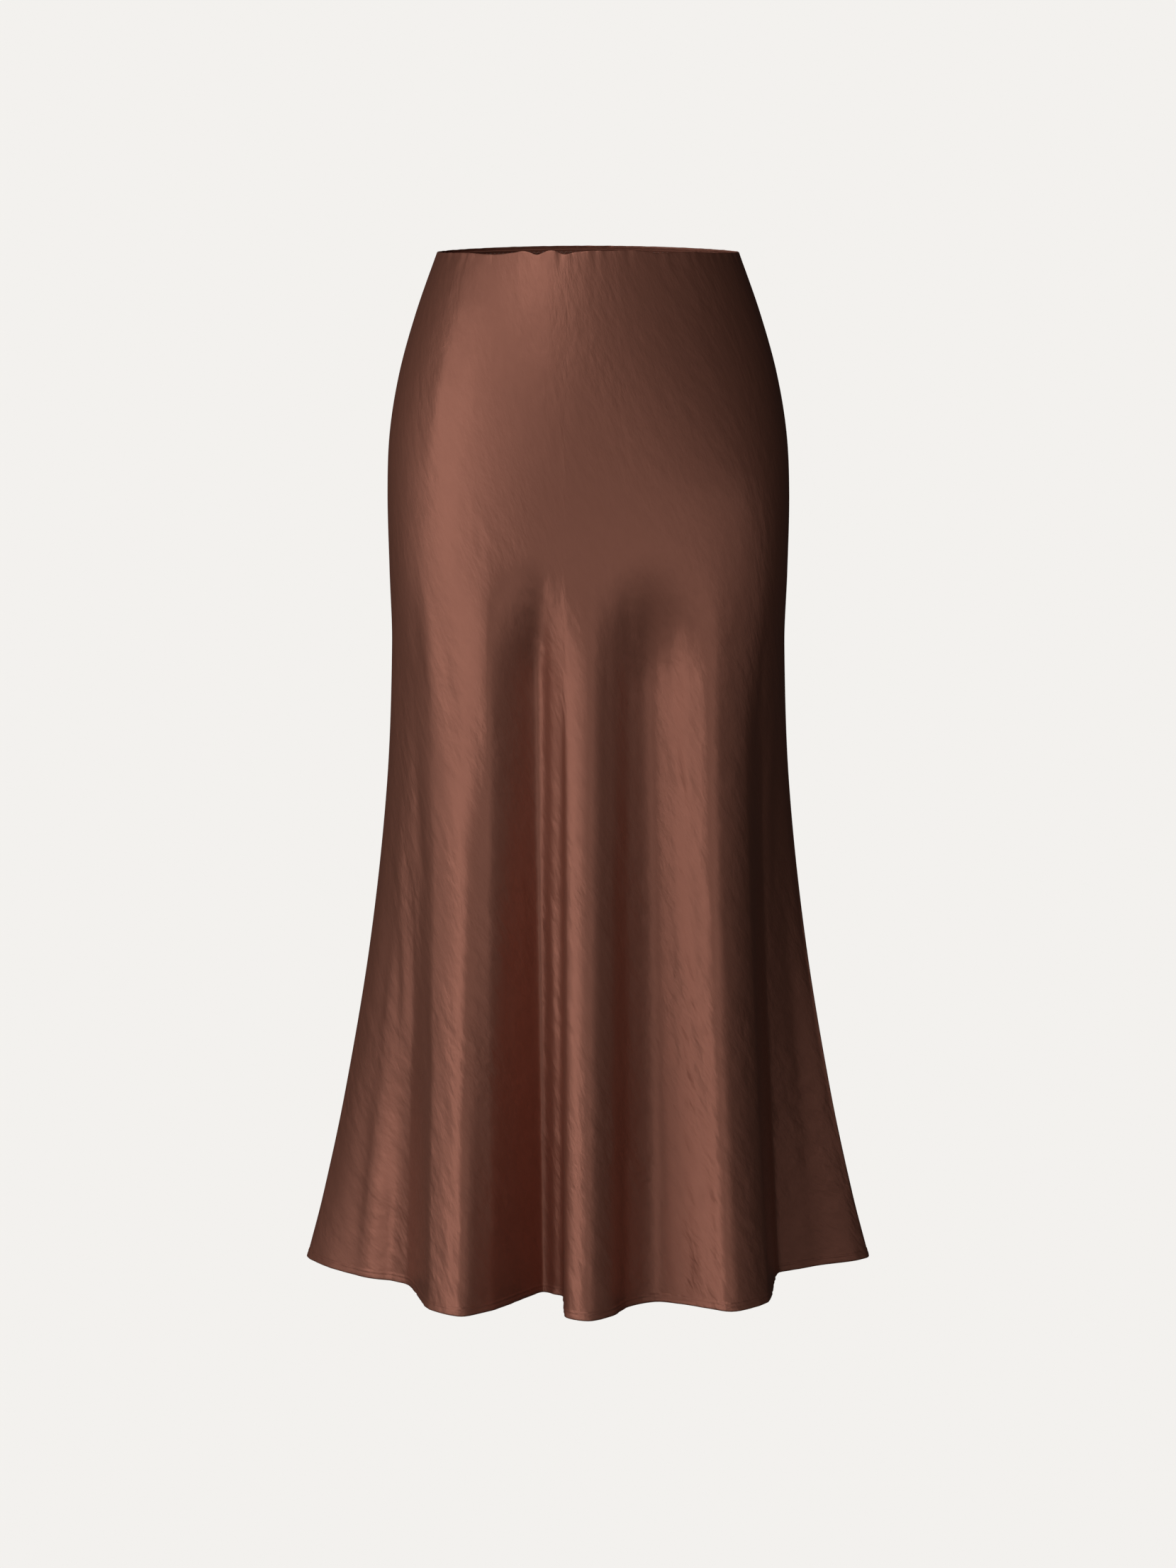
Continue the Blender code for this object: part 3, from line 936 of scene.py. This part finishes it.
@dataclass
class Panel:
    """One cloth panel from seam to seam, as a closed thin shell with round edges."""

    name: str
    side: Side
    drape: Drape
    finish: Material
    thickness: float = 0.0008
    hem_thickness: float = 0.0018
    column_spacing: float = 0.0046
    fewest_columns: int = 6
    row_spacing: float = 0.0029
    edge_rows: int = 16             # close rows at the rim and at the hem
    edge_spacing: float = 0.0009
    inner_every: int = 3            # the lining side keeps one row in this many
    rounding: Numbers = (0.25, 0.5, 0.75)
    seam_steps: Numbers = (0.0007, 0.0015, 0.0024, 0.0036)
    seam_clear: float = 0.0045      # beside a seam, where only those steps are
    arc_samples: int = 17           # points by which the length between two lines is measured

    def first_line(self) -> int:
        """The column of the panel's first seam."""
        return 0 if self.side is Side.FRONT else self.drape.right_seam

    def last_line(self) -> int:
        """The column of the panel's last seam."""
        return self.drape.right_seam if self.side is Side.FRONT else self.drape.around

    def columns(self) -> Array:
        """The panel's columns, close together in a tight fold and beside a seam.

        Returns:
            The columns, from seam to seam.
        """
        places: list[float] = []
        hem = np.array([SKIRT_LENGTH])
        first, last = self.first_line(), self.last_line()
        for index in range(first, last):
            arc = self.drape.base(np.linspace(index, index + 1, self.arc_samples), hem)[0]
            length = float(np.linalg.norm(np.diff(arc, axis=0), axis=1).sum())
            steps = max(self.fewest_columns, round(length / self.column_spacing))
            shares = [step / steps for step in range(steps)]
            clear = self.seam_clear / length
            beside = [step / length for step in self.seam_steps]
            if index == first:
                shares = [0.0, *beside, *(share for share in shares if share > clear)]
            if index == last - 1:
                shares = [share for share in shares if share < 1 - clear]
                shares += [1 - share for share in reversed(beside)]
            places.extend(index + share for share in shares)
        return np.array([*places, float(last)])

    def drops(self) -> Array:
        """The panel's rows, close together at the rim and at the hem.

        Returns:
            The drop of each row.
        """
        edge = self.edge_rows * self.edge_spacing
        close = np.arange(self.edge_rows) * self.edge_spacing
        middle_count = round((SKIRT_LENGTH - 2 * edge) / self.row_spacing)
        middle_count -= middle_count % self.inner_every
        middle = np.linspace(edge, SKIRT_LENGTH - edge, middle_count, endpoint=False)
        return np.concatenate([close, middle, SKIRT_LENGTH - edge + close, [SKIRT_LENGTH]])

    def skins(self, columns: Array, drops: Array) -> tuple[Array, Array]:
        """The outer net and the net just inside it.

        Args:
            columns: The panel's columns.
            drops: The panel's rows.

        Returns:
            Outer points and inner points.
        """
        points = self.drape.base(columns, drops)
        lift = self.drape.relief(points, drops, self.side)
        outer = points + normals_of(points) * lift[:, :, None]
        if self.side is Side.FRONT:
            rise = sum(roll.relief(outer[:, :, 0]) for roll in RIM_ROLLS)
            outer[:, :, 2] += rise * fade(drops, self.drape.gather_reach)[:, None]
        height = SKIRT_LENGTH - drops
        wall = np.where(height < self.drape.hem_band, self.hem_thickness, self.thickness)
        inner = outer - normals_of(outer) * wall[:, None, None]
        inner[0, :, 2] = outer[0, :, 2]
        inner[-1, :, 2] = outer[-1, :, 2]
        return outer, inner

    def rounded(self, start: Array, end: Array, down: float) -> list[Array]:
        """Rows that carry the cloth round an edge.

        Args:
            start: The edge row that is left.
            end: The edge row that is reached.
            down: +1 to bulge down, -1 to bulge up.

        Returns:
            The rows between the two.
        """
        rows = []
        middle, half = (start + end) / 2, (start - end) / 2
        for share in self.rounding:
            angle = math.pi * share
            row = middle + half * math.cos(angle)
            row[:, 2] -= down * (np.linalg.norm(half, axis=1) * math.sin(angle))
            rows.append(row)
        return rows

    def build(self) -> Object:
        """Makes the shell with its cloth map.

        Returns:
            The panel's object.
        """
        columns, drops = self.columns(), self.drops()
        outer, inner = self.skins(columns, drops)
        keep = list(range(0, len(drops), self.inner_every))
        if keep[-1] != len(drops) - 1:
            keep.append(len(drops) - 1)
        loops = [*outer, *self.rounded(outer[-1], inner[-1], 1.0)]
        loops += [inner[row] for row in reversed(keep)]
        loops += self.rounded(inner[0], outer[0], -1.0)
        count, width = len(loops), len(columns)
        points = np.concatenate(loops)
        faces = loop_faces(count, width, False) + self.end_caps(keep, len(drops), count, width)
        thing = mesh_object(self.name, points, faces, self.finish)
        self.lay_map(thing, running_length(outer[len(drops) // 2]), points, width)
        return thing

    def end_caps(self, keep: list[int], rows: int, count: int, width: int) -> Faces:
        """Closes both seam ends of the shell.

        Args:
            keep: The rows that the inner skin has.
            rows: The number of outer rows.
            count: The number of rows round the whole loop.
            width: The number of columns.

        Returns:
            The faces of the two ends.
        """
        arcs = len(self.rounding)
        inner_start = rows + arcs
        inner_row = {row: inner_start + order for order, row in enumerate(reversed(keep))}
        rings = [[*range(upper, lower + 1), inner_row[lower], inner_row[upper]]
                 for upper, lower in zip(keep, keep[1:])]
        rings.append(list(range(rows - 1, inner_start + 1)))
        rings.append([row % count for row in range(count - arcs - 1, count + 1)])
        return [tuple(row * width + column for row in ring)
                for column in (0, width - 1) for ring in rings]

    def lay_map(self, thing: Object, arc: Array, points: Array, width: int) -> None:
        """Lays a map in metres over the shell: round the skirt, and down.

        Args:
            thing: The panel's object.
            arc: Distance round the skirt of each column.
            points: The vertices.
            width: The number of columns.
        """
        layer = thing.data.uv_layers.new(name="cloth")
        loops = np.empty(len(thing.data.loops), dtype=np.int64)
        thing.data.loops.foreach_get("vertex_index", loops)
        places = np.stack([arc[loops % width], points[loops, 2]], axis=1)
        layer.data.foreach_set("uv", places.ravel())


@dataclass
class WaistElastic:
    """The woven elastic inside the rim, with fine lengthwise ribs."""

    drape: Drape
    finish: Material
    name: str = "elastic_band"
    top: float = 0.0015
    width: float = 0.0120
    wall: float = 0.0012
    clearance: float = 0.0014
    ribs: int = 6
    rows_per_rib: int = 4
    rib_height: float = 0.00025
    steps: int = 360

    def build(self) -> Object:
        """Makes the ribbed band as one closed ring.

        Returns:
            The band.
        """
        columns = np.linspace(0.0, self.drape.around, self.steps, endpoint=False)
        share = np.linspace(0.0, 1.0, self.ribs * self.rows_per_rib + 1)
        drops = self.top + self.width * share
        points = self.drape.base(np.append(columns, self.drape.around), drops)
        normals = normals_of(points)[:, :-1]
        points = points[:, :-1]
        rib = self.rib_height * np.abs(np.sin(math.pi * self.ribs * share))[:, None, None]
        outer = points - normals * self.clearance
        inner = points - normals * (self.clearance + self.wall + rib)
        loops = [*outer, *inner[::-1]]
        faces = loop_faces(len(loops), self.steps, True)
        return mesh_object(self.name, np.concatenate(loops), faces, self.finish)


@dataclass
class StitchTree:
    """The node tree that sews stitches along a line of points.

    The line carries an "out" attribute, which points away from the cloth.
    """

    name: str = "stitch_row"
    thread_sides: int = 6
    arch_steps: int = 4
    sink: float = -1.2              # how high a stitch's ends lie, in thread radii

    def build(self) -> NodeTree:
        """Builds the tree with its named inputs.

        Returns:
            The tree.
        """
        tree = bpy.data.node_groups.new(self.name, "GeometryNodeTree")
        graph = Graph(tree)
        kinds = {"Geometry": "Geometry", "Pitch": "Float", "Stitch Length": "Float",
                 "Thread Radius": "Float", "Slant": "Float", "Jitter": "Float", "Seed": "Int",
                 "Thread": "Material"}
        for name, kind in kinds.items():
            tree.interface.new_socket(name, in_out="INPUT", socket_type="NodeSocket" + kind)
        tree.interface.new_socket("Geometry", in_out="OUTPUT", socket_type="NodeSocketGeometry")
        given = {name: graph.node("NodeGroupInput", {}, {}, name) for name in kinds}

        curve = graph.node("GeometryNodeMeshToCurve", {}, {"Mesh": given["Geometry"]})
        spots = graph.node("GeometryNodeResampleCurve", {"mode": "LENGTH"},
                           {"Curve": curve, "Length": given["Pitch"]})
        out = graph.node("GeometryNodeInputNamedAttribute", {"data_type": "FLOAT_VECTOR"},
                         {"Name": "out"}, "Attribute")
        along = graph.node("GeometryNodeInputTangent", {}, {})
        aim = graph.node("FunctionNodeAxesToRotation",
                         {"primary_axis": "Z", "secondary_axis": "X"},
                         {"Primary Axis": out, "Secondary Axis": along})
        odd = graph.calc("MODULO", graph.node("GeometryNodeInputIndex", {}, {}), 2.0)
        wobble = graph.node("FunctionNodeRandomValue", {"data_type": "FLOAT"},
                            {2: given["Jitter"] * -1.0, 3: given["Jitter"],
                             "Seed": given["Seed"]}, 1)
        angle = (odd * 2.0 - 1.0) * given["Slant"] + wobble
        turn = graph.node("FunctionNodeAxisAngleToRotation", {},
                          {"Axis": (0.0, 0.0, 1.0), "Angle": angle})
        aimed = graph.node("FunctionNodeRotateRotation", {"rotation_space": "LOCAL"},
                           {"Rotation": aim, "Rotate By": turn})

        half, radius = given["Stitch Length"] * 0.5, given["Thread Radius"]
        low = radius * self.sink
        start = graph.node("ShaderNodeCombineXYZ", {}, {"X": half * -1.0, "Z": low})
        end = graph.node("ShaderNodeCombineXYZ", {}, {"X": half, "Z": low})
        crown = graph.node("ShaderNodeCombineXYZ", {}, {"Z": radius})
        arch = graph.node("GeometryNodeCurveQuadraticBezier", {},
                          {"Resolution": self.arch_steps, "Start": start, "Middle": crown,
                           "End": end})
        ring = graph.node("GeometryNodeCurvePrimitiveCircle", {},
                          {"Resolution": self.thread_sides, "Radius": radius})
        stitch = graph.node("GeometryNodeCurveToMesh", {},
                            {"Curve": arch, "Profile Curve": ring, "Fill Caps": True})
        sewn = graph.node("GeometryNodeInstanceOnPoints", {},
                          {"Points": spots, "Instance": stitch, "Rotation": aimed})
        real = graph.node("GeometryNodeRealizeInstances", {}, {"Geometry": sewn})
        dressed = graph.node("GeometryNodeSetMaterial", {},
                             {"Geometry": real, "Material": given["Thread"]})
        graph.feed(dressed, tree.nodes.new("NodeGroupOutput").inputs["Geometry"])
        return tree


@dataclass
class StitchRow:
    """A row of stitches that follows the cloth."""

    name: str
    points: Array
    outward: Array
    thread: Material
    pitch: float = 0.0026
    length: float = 0.0019
    radius: float = 0.00014
    slant: float = 0.0
    jitter: float = 0.05
    seed: int = 7

    def build(self, tree: NodeTree) -> Object:
        """Sews the row and turns it into a plain mesh.

        Args:
            tree: The stitch tree.

        Returns:
            The row's object.
        """
        path = bpy.data.meshes.new(self.name + "_path")
        edges = [(place, place + 1) for place in range(len(self.points) - 1)]
        path.from_pydata(self.points.tolist(), edges, [])
        out = path.attributes.new("out", "FLOAT_VECTOR", "POINT")
        out.data.foreach_set("vector", self.outward.astype(np.float32).ravel())
        guide = placed(path.name, path)
        modifier = guide.modifiers.new("stitches", "NODES")
        modifier.node_group = tree
        inputs = {"Pitch": self.pitch, "Stitch Length": self.length, "Thread Radius": self.radius,
                  "Slant": self.slant, "Jitter": self.jitter, "Seed": self.seed,
                  "Thread": self.thread}
        for item in tree.interface.items_tree:
            if item.in_out == "INPUT" and item.name in inputs:
                modifier[item.identifier] = inputs[item.name]
        bpy.context.view_layer.update()
        shown = guide.evaluated_get(bpy.context.evaluated_depsgraph_get())
        data = bpy.data.meshes.new_from_object(shown)
        data.name = self.name
        guide.modifiers.remove(modifier)
        bpy.data.objects.remove(guide)
        if not data.materials:
            data.materials.append(self.thread)
        data.shade_smooth()
        return placed(self.name, data)


# --- Studio ---


@dataclass(frozen=True)
class SoftBox:
    """A rectangular light that looks at the middle of the skirt.

    The azimuth runs from straight in front towards the viewer's left, in degrees.
    """

    name: str
    azimuth: float
    elevation: float
    width: float
    height: float
    power: float
    distance: float = 2.8

    def build(self, target: Vector) -> Object:
        """Hangs the light and turns it to the target.

        Args:
            target: The place that it looks at.

        Returns:
            The light.
        """
        lamp = bpy.data.lights.new(self.name, "AREA")
        lamp.shape = "RECTANGLE"
        lamp.size = self.width
        lamp.size_y = self.height
        lamp.energy = self.power
        thing = placed(self.name, lamp)
        azimuth, elevation = math.radians(self.azimuth), math.radians(self.elevation)
        away = Vector((-math.sin(azimuth) * math.cos(elevation),
                       -math.cos(azimuth) * math.cos(elevation), math.sin(elevation)))
        thing.location = target + away * self.distance
        thing.rotation_euler = (-away).to_track_quat("-Z", "Y").to_euler()
        return thing


@dataclass
class Studio:
    """The soft lights, the pale floor and the pale backdrop."""

    target: tuple[float, float, float] = (0.0, 0.0, -0.45)
    backdrop_radius: float = 12.0
    backdrop_rings: int = 24
    floor_radius: float = 10.8
    floor_sides: int = 64
    floor_drop: float = 1.06
    air: Colour = (0.01, 0.01, 0.01)
    boxes: tuple[SoftBox, ...] = (
        SoftBox("left_high_box", 28, 42, 1.0, 1.1, 14.0),
        SoftBox("left_key_box", 42, -8, 0.9, 1.1, 4.4),
        SoftBox("left_low_box", 54, -8, 0.9, 1.1, 4.0),
        SoftBox("left_side_box", 66, 14, 0.9, 1.1, 8.4),
        SoftBox("left_far_box", 88, -8, 1.2, 1.1, 3.0),
        SoftBox("front_box", 2, -8, 1.2, 1.1, 3.4),
        SoftBox("front_right_box", -20, -2, 1.0, 1.1, 2.6),
        SoftBox("right_front_box", -45, 8, 1.0, 1.1, 1.8),
        SoftBox("right_side_box", -72, -8, 1.2, 1.1, 0.9),
    )
    back_boxes: tuple[SoftBox, ...] = (
        SoftBox("back_high_box", 150, 42, 1.4, 1.1, 12.0),
        SoftBox("back_key_box", 136, 2, 1.0, 1.3, 8.0),
        SoftBox("back_side_box", 108, 8, 1.0, 1.3, 6.0),
        SoftBox("back_fill_box", -160, 2, 1.2, 1.3, 5.0),
    )

    def build(self, rear: list[Object]) -> list[Object]:
        """Sets the lights, the floor and the backdrop.

        Args:
            rear: The pieces that the lights behind the skirt are for.

        Returns:
            The floor and the backdrop.
        """
        target = Vector(self.target)
        for box in self.boxes:
            box.build(target)
        receivers = bpy.data.collections.new("lit_from_behind")
        for piece in rear:
            receivers.objects.link(piece)
        for box in self.back_boxes:
            box.build(target).light_linking.receiver_collection = receivers
        world = bpy.data.worlds.new("studio_air")
        world.use_nodes = True
        world.node_tree.nodes["Background"].inputs["Color"].default_value = (*self.air, 1.0)
        bpy.context.scene.world = world
        bpy.context.scene.view_settings.view_transform = "Standard"
        paper = PaperFinish().material()
        return [self.disc(paper), self.dome(paper)]

    def disc(self, paper: Material) -> Object:
        """The floor, level and round, below the hem.

        Args:
            paper: Its material.

        Returns:
            The floor.
        """
        made = bmesh.new()
        bmesh.ops.create_circle(made, cap_ends=True, segments=self.floor_sides,
                                radius=self.floor_radius)
        bmesh.ops.translate(made, verts=made.verts, vec=(0.0, 0.0, -self.floor_drop))
        return self.stage_object("pale_floor", made, paper)

    def dome(self, paper: Material) -> Object:
        """The backdrop, a wide ball round the whole studio.

        Args:
            paper: Its material.

        Returns:
            The backdrop.
        """
        made = bmesh.new()
        rings = self.backdrop_rings
        bmesh.ops.create_uvsphere(made, u_segments=2 * rings, v_segments=rings,
                                  radius=self.backdrop_radius)
        return self.stage_object("pale_backdrop", made, paper)

    def stage_object(self, name: str, made: bmesh.types.BMesh, paper: Material) -> Object:
        """Turns a mesh into a part of the stage, which lights and shades nothing.

        Args:
            name: The object's name.
            made: The mesh, which is freed.
            paper: The material.

        Returns:
            The object.
        """
        data = bpy.data.meshes.new(name)
        made.to_mesh(data)
        made.free()
        data.materials.append(paper)
        thing = placed(name, data)
        for ray in ("diffuse", "glossy", "shadow", "transmission"):
            setattr(thing, "visible_" + ray, False)
        return thing


@dataclass(frozen=True)
class PhotoCamera:
    """The camera that sees the skirt as the photograph does."""

    distance: float = 3.68
    height: float = 0.115
    pitch: float = 8.75             # degrees that it looks down
    lens: float = 100.0
    sensor: float = 36.0

    def build(self) -> None:
        """Places the camera and makes it the scene's own."""
        lens = bpy.data.cameras.new("photo_camera")
        lens.lens = self.lens
        lens.sensor_width = self.sensor
        lens.sensor_fit = "AUTO"
        thing = placed("photo_camera", lens)
        thing.location = (0.0, -self.distance, self.height)
        look = Vector((0.0, self.distance, -self.distance * math.tan(math.radians(self.pitch))))
        thing.rotation_euler = look.to_track_quat("-Z", "Y").to_euler()
        bpy.context.scene.camera = thing


# --- Assembly ---


@dataclass
class Skirt:
    """The whole skirt: two panels, their hem stitches and the elastic with its zigzag."""

    front_flat: tuple[float, float] = (0.861, 0.879)
    front_area: float = 0.488
    back_flat: tuple[float, float] = (0.827, 0.879)
    back_area: float = 0.478
    thread_colour: Colour = (0.40, 0.16, 0.12)
    zigzag_colour: Colour = (0.60, 0.40, 0.33)
    stitch_columns: int = 900
    seam_trim: int = 4              # columns beside a seam that the hem's stitches leave out
    zigzag_share: float = 0.25      # how far down the elastic the zigzag runs
    zigzag_pitch: float = 0.0020
    zigzag_length: float = 0.0030
    zigzag_slant: float = 52.0      # degrees

    def build(self) -> list[Object]:
        """Builds every piece and ties it to the frame.

        Returns:
            The pieces that the lights behind the skirt may reach.
        """
        drape = Drape()
        satin = SatinFinish().material()
        elastic = ElasticFinish().material()
        thread = ThreadFinish("brown_thread", self.thread_colour).material()
        pale_thread = ThreadFinish("light_thread", self.zigzag_colour).material()
        tree = StitchTree().build()

        waist = WaistElastic(drape, elastic)
        band = waist.build()
        tie(band, Slot.ELASTIC, "waist_elastic")
        zigzag = self.waist_zigzag(waist, pale_thread, tree)
        tie(zigzag, Slot.ELASTIC)

        halves = (
            ("front_cloth", Side.FRONT, "front_panel", self.front_flat, self.front_area),
            ("back_cloth", Side.BACK, "back_panel", self.back_flat, self.back_area),
        )
        for name, side, node, flat, area in halves:
            panel = Panel(name, side, drape, satin)
            cloth = panel.build()
            tie(cloth, Slot.SATIN, node)
            stitches = self.hem_stitches(panel, thread, tree)
            tie(stitches, Slot.SATIN)
        return [band, zigzag, cloth, stitches]

    def hem_stitches(self, panel: Panel, thread: Material, tree: NodeTree) -> Object:
        """The stitches that hold one panel's turned hem.

        Args:
            panel: The panel.
            thread: The thread's material.
            tree: The stitch tree.

        Returns:
            The row of stitches.
        """
        drape = panel.drape
        columns = np.linspace(panel.first_line(), panel.last_line(), self.stitch_columns)
        close = close_drops(SKIRT_LENGTH - drape.hem_stitch)
        drops = np.append(close, SKIRT_LENGTH)
        plain = drape.base(columns, drops)
        lift = drape.relief(plain, drops, panel.side)[1]
        outward = normals_of(plain[:-1])[1]
        points = plain[1] + outward * lift[:, None]
        sewn = slice(self.seam_trim, -self.seam_trim)
        name = "hem_stitches_" + panel.side.name.lower()
        return StitchRow(name, points[sewn], outward[sewn], thread).build(tree)

    def waist_zigzag(self, waist: WaistElastic, thread: Material, tree: NodeTree) -> Object:
        """The zigzag that joins the elastic to the cloth, seen on its inner face.

        Args:
            waist: The elastic.
            thread: The thread's material.
            tree: The stitch tree.

        Returns:
            The row of stitches.
        """
        columns = np.linspace(0.0, waist.drape.around, self.stitch_columns)
        drops = close_drops(waist.top + waist.width * self.zigzag_share)
        plain = waist.drape.base(columns, drops)
        outward = normals_of(plain)[1]
        points = plain[1] - outward * (waist.clearance + waist.wall + waist.rib_height)
        row = StitchRow("waist_zigzag", points, -outward, thread, self.zigzag_pitch,
                        self.zigzag_length, slant=math.radians(self.zigzag_slant))
        return row.build(tree)


def tie(thing: Object, slot: Slot, *nodes: str) -> None:
    """Ties a finished piece to the skirt's one body.

    Args:
        thing: The piece.
        slot: The record's slot for the piece's finish; not used.
        nodes: The solids that it stands for.
    """
    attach(thing, BODY)
    if nodes:
        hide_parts(*nodes)
    triangles = sum(len(face.vertices) - 2 for face in thing.data.polygons)
    LOG.info("%s: %d triangles", thing.name, triangles)


def main() -> None:
    """Builds the camera, the skirt and the studio."""
    logging.basicConfig(level=logging.INFO, format="%(name)s: %(message)s")
    PhotoCamera().build()
    rear = Skirt().build()
    Studio().build(rear)


if __name__ == "__main__":
    main()
